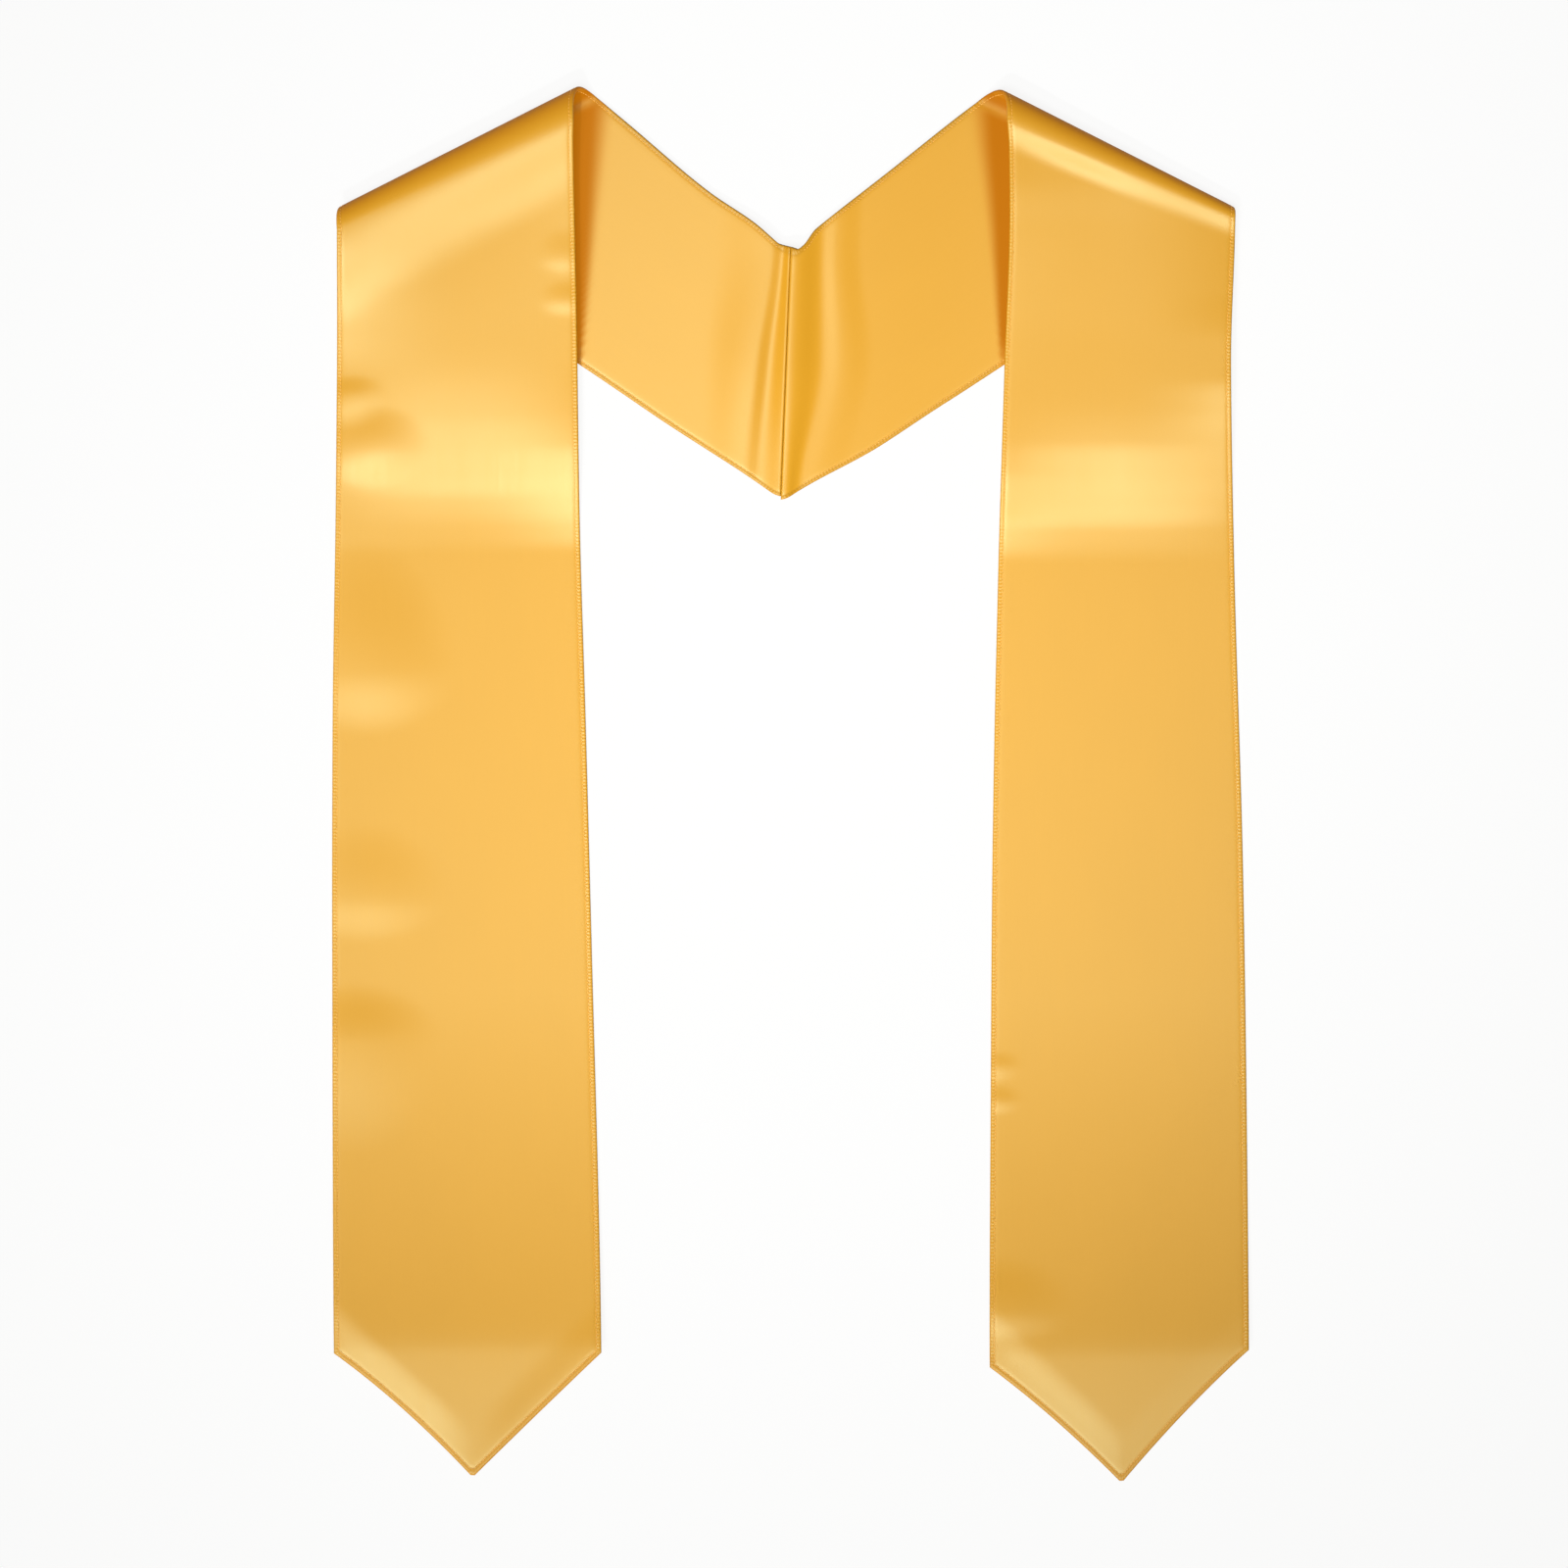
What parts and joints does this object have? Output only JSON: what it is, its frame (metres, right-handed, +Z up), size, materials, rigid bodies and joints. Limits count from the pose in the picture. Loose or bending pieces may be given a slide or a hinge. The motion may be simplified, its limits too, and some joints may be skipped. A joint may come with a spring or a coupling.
{
  "type": "graduation stole",
  "caption": "Plain gold satin graduation stole lying flat: a lined band with a mitred back seam, diagonal shoulder folds and pointed front ends.",
  "frame": {"origin": "under the middle of the lying stole, on the surface it lies on", "axes": "+Y towards the shoulder folds, -Y towards the pointed ends, +Z up from the surface, +X to the right as seen from above"},
  "size_m": [0.4862, 0.741, 0.0231],
  "materials": {
    "outer_satin": "gold satin, glossy along its floats, with a pressed and topstitched border",
    "lining_satin": "the same gold satin on the reverse"
  },
  "bodies": {
    "root": {"left_outer": "outer_satin", "left_lining": "lining_satin", "right_outer": "outer_satin", "right_lining": "lining_satin"}
  },
  "joints": []
}
